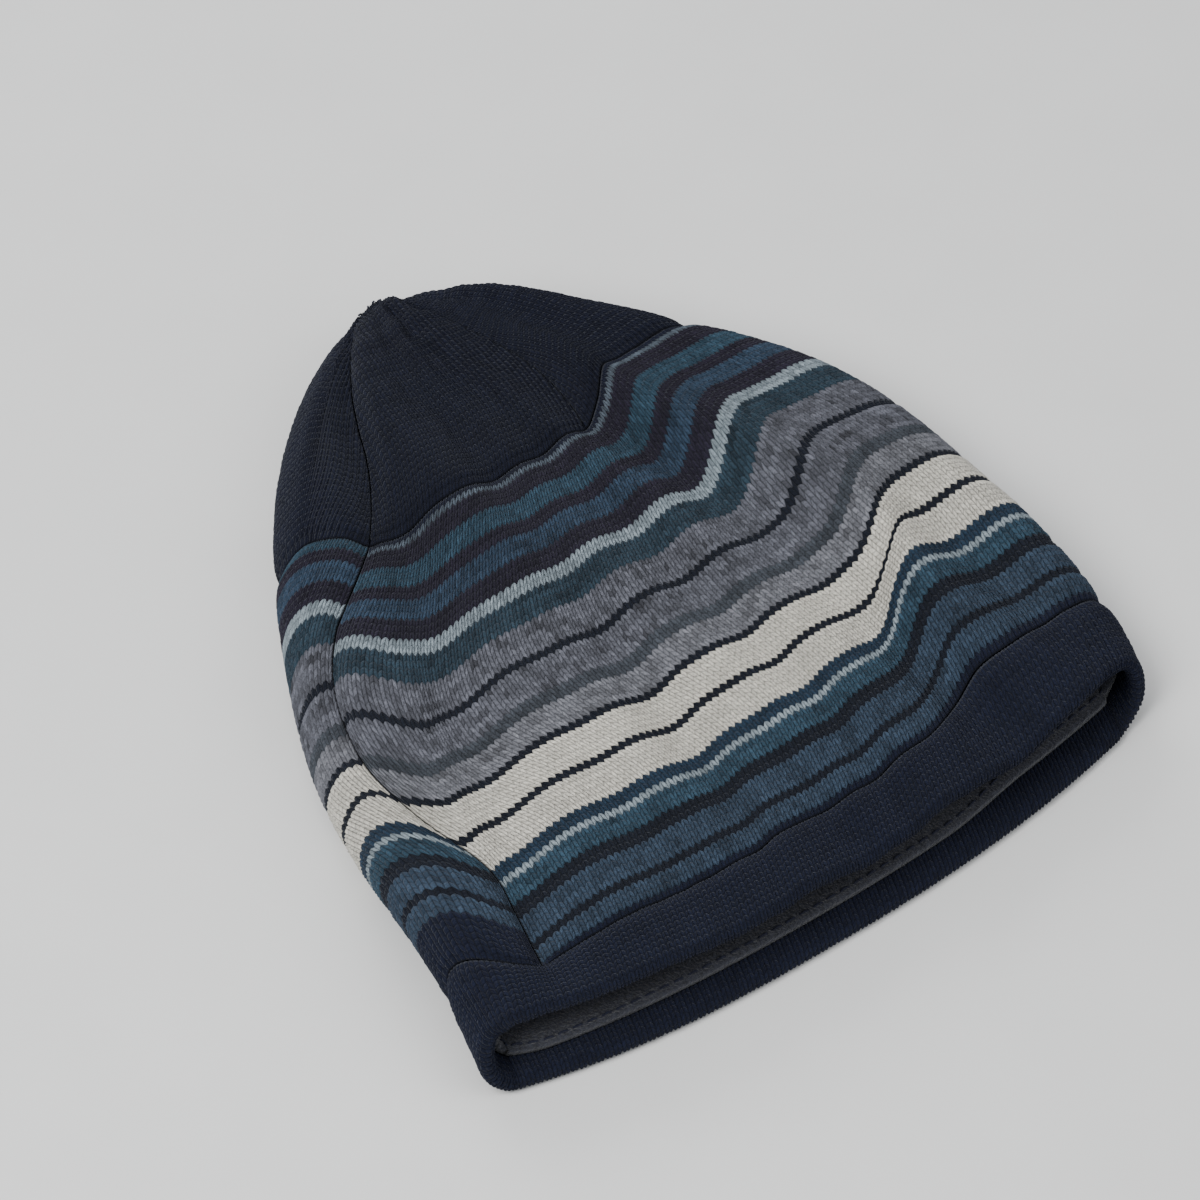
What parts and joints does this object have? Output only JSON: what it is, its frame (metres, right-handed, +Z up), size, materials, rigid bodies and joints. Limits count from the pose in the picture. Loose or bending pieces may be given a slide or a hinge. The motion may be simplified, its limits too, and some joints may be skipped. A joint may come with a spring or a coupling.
{
  "type": "knitted beanie",
  "caption": "Striped knitted winter hat lying flat: folded brim, two striped body panels, four-gore closed crown and a fleece ear band inside.",
  "frame": {"origin": "middle of the underside of the hat's box, on the surface the hat lies on", "axes": "+Y from the open hem to the closed crown, the hat's length; +X to the right as the front face is looked down on; +Z up, out of the front face, through the hat's thickness"},
  "size_m": [0.2114, 0.2266, 0.029],
  "materials": {
    "striped_knit": "matte jersey knit in melange yarn, striped navy, blue-grey, teal, grey and off-white",
    "navy_knit": "matte jersey knit, plain navy, folded double",
    "crown_knit": "matte jersey knit, plain dark navy",
    "fleece": "brushed micro-fleece, matte",
    "overlock_thread": "textured polyester thread, slight sheen",
    "satin_tape": "satin-woven tape, soft sheen, blank"
  },
  "bodies": {
    "root": {"front_panel": "striped_knit", "back_panel": "striped_knit", "crown_gore_front": "crown_knit", "crown_gore_right": "crown_knit", "crown_gore_back": "crown_knit", "crown_gore_left": "crown_knit", "brim_band": "navy_knit", "brim_seam": "overlock_thread", "crown_ring_seam": "overlock_thread", "side_seam_left": "overlock_thread", "side_seam_right": "overlock_thread", "crown_seam_front_left": "overlock_thread", "crown_seam_front_right": "overlock_thread", "crown_seam_back_right": "overlock_thread", "crown_seam_back_left": "overlock_thread", "crown_tack": "overlock_thread", "ear_band_lining": "fleece", "lining_join_stitch": "overlock_thread", "lining_lower_stitch": "overlock_thread", "lining_upper_stitch": "overlock_thread", "care_label": "satin_tape"}
  },
  "joints": []
}
